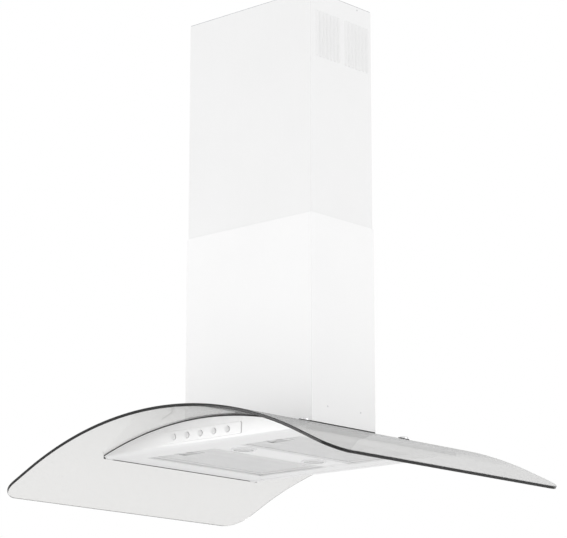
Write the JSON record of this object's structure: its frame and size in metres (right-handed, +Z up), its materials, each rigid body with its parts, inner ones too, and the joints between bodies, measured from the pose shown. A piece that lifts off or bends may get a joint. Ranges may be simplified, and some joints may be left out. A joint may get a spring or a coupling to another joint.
{
  "type": "range hood",
  "caption": "Ceiling-hung kitchen range hood: curved glass canopy over a shallow steel body with lamps and lift-out filters, and a telescopic rectangular chimney.",
  "frame": {"origin": "centre of the ceiling mounting face, on top of the ceiling plate", "axes": "+Z up, +X to the hood's right seen from the front, the controls face -Y"},
  "size_m": [0.9, 0.7, 1.0036],
  "materials": {
    "cover_steel": "white satin coated steel",
    "body_steel": "fine brushed steel",
    "frame_steel": "galvanised",
    "fasteners": "plated",
    "clear_glass": "tempered, polished edges",
    "rubber": "matte",
    "filter_metal": "satin",
    "lamp_chrome": "polished",
    "lamp_glass": "frosted",
    "lamp_body": "cast",
    "control_white": "satin moulded",
    "blower_plastic": "moulded",
    "motor_metal": "satin",
    "board_green": "circuit board",
    "grey_plastic": "moulded"
  },
  "bodies": {
    "ceiling_hanger": {"ceiling_plate": "frame_steel", "upper_angles_left": "frame_steel", "upper_angles_right": "frame_steel", "hanger_bolts": "fasteners"},
    "hood": {"blower_feet": "frame_steel", "blower_housing_front": "blower_plastic", "blower_housing_rear": "blower_plastic", "blower_plate": "frame_steel", "body_frame": "body_steel", "cable_gland": "grey_plastic", "control_box": "grey_plastic", "control_fascia": "control_white", "cover_trim": "rubber", "duct_adaptor": "blower_plastic", "flap_pin": "fasteners", "frame_screws": "fasteners", "frame_tie": "frame_steel", "front_panel": "body_steel", "glass_bolts": "fasteners", "glass_canopy": "clear_glass", "glass_caps": "fasteners", "glass_seal": "rubber", "glass_washers": "rubber", "lamp_can_front": "lamp_body", "lamp_can_rear": "lamp_body", "lamp_lens_front": "lamp_glass", "lamp_lens_rear": "lamp_glass", "lamp_rail": "body_steel", "lamp_ring_front": "lamp_chrome", "lamp_ring_rear": "lamp_chrome", "lower_angles_left": "frame_steel", "lower_angles_right": "frame_steel", "lower_cover": "cover_steel", "lower_cover_screws": "fasteners", "motor": "motor_metal", "motor_bracket": "frame_steel", "outlet_collar": "blower_plastic", "rear_panel": "body_steel", "switch_board": "board_green", "terminal_box": "grey_plastic", "throat_duct": "frame_steel", "top_skin": "body_steel"},
    "upper_cover": {"upper_cover": "cover_steel", "upper_cover_screws": "fasteners"},
    "filter_left": {"filter_frame_left": "filter_metal", "filter_mesh_left": "filter_metal"},
    "filter_right": {"filter_frame_right": "filter_metal", "filter_mesh_right": "filter_metal"},
    "latch_left": {"filter_latch_left": "grey_plastic"},
    "latch_right": {"filter_latch_right": "grey_plastic"},
    "flap_left": {"damper_flap_left": "blower_plastic"},
    "flap_right": {"damper_flap_right": "blower_plastic"},
    "blower_wheel": {"impeller": "blower_plastic", "impeller_blades": "blower_plastic", "motor_shaft": "fasteners"},
    "button_power": {"button_power": "control_white"},
    "button_speed_low": {"button_speed_low": "control_white"},
    "button_speed_mid": {"button_speed_mid": "control_white"},
    "button_speed_high": {"button_speed_high": "control_white"},
    "button_light": {"button_light": "control_white"}
  },
  "joints": [
    {"name": "height_slide", "type": "slide", "parent": "ceiling_hanger", "child": "hood", "axis": [0, 0, 1], "range_m": [0, 0.3]},
    {"name": "upper_cover_slide", "type": "slide", "parent": "ceiling_hanger", "child": "upper_cover", "axis": [0, 0, 1], "range_m": [-0.3, 0]},
    {"name": "blower_spin", "type": "hinge", "parent": "hood", "child": "blower_wheel", "pos_m": [0, 0, -0.7265], "axis": [0, 1, 0], "continuous": true},
    {"name": "filter_left_drop", "type": "hinge", "parent": "hood", "child": "filter_left", "pos_m": [-0.12025, 0.164, -0.922], "axis": [1, 0, 0], "range_deg": [0, 75]},
    {"name": "latch_left_slide", "type": "slide", "parent": "filter_left", "child": "latch_left", "axis": [0, 1, 0], "range_m": [0, 0.006], "stiffness_N_per_m": 500, "springref_m": -0.002},
    {"name": "flap_left_swing", "type": "hinge", "parent": "hood", "child": "flap_left", "pos_m": [-0.049, 0, -0.5465], "axis": [0, 1, 0], "range_deg": [0, 75]},
    {"name": "filter_right_drop", "type": "hinge", "parent": "hood", "child": "filter_right", "pos_m": [0.12025, 0.164, -0.922], "axis": [1, 0, 0], "range_deg": [0, 75]},
    {"name": "latch_right_slide", "type": "slide", "parent": "filter_right", "child": "latch_right", "axis": [0, 1, 0], "range_m": [0, 0.006], "stiffness_N_per_m": 500, "springref_m": -0.002},
    {"name": "flap_right_swing", "type": "hinge", "parent": "hood", "child": "flap_right", "pos_m": [-0.049, 0, -0.5465], "axis": [0, -1, 0], "range_deg": [0, 75]},
    {"name": "button_power_press", "type": "slide", "parent": "hood", "child": "button_power", "axis": [0, 1, 0], "range_m": [0, 0.0015], "stiffness_N_per_m": 800, "springref_m": -0.0008},
    {"name": "button_speed_low_press", "type": "slide", "parent": "hood", "child": "button_speed_low", "axis": [0, 1, 0], "range_m": [0, 0.0015], "stiffness_N_per_m": 800, "springref_m": -0.0008},
    {"name": "button_speed_mid_press", "type": "slide", "parent": "hood", "child": "button_speed_mid", "axis": [0, 1, 0], "range_m": [0, 0.0015], "stiffness_N_per_m": 800, "springref_m": -0.0008},
    {"name": "button_speed_high_press", "type": "slide", "parent": "hood", "child": "button_speed_high", "axis": [0, 1, 0], "range_m": [0, 0.0015], "stiffness_N_per_m": 800, "springref_m": -0.0008},
    {"name": "button_light_press", "type": "slide", "parent": "hood", "child": "button_light", "axis": [0, 1, 0], "range_m": [0, 0.0015], "stiffness_N_per_m": 800, "springref_m": -0.0008}
  ]
}
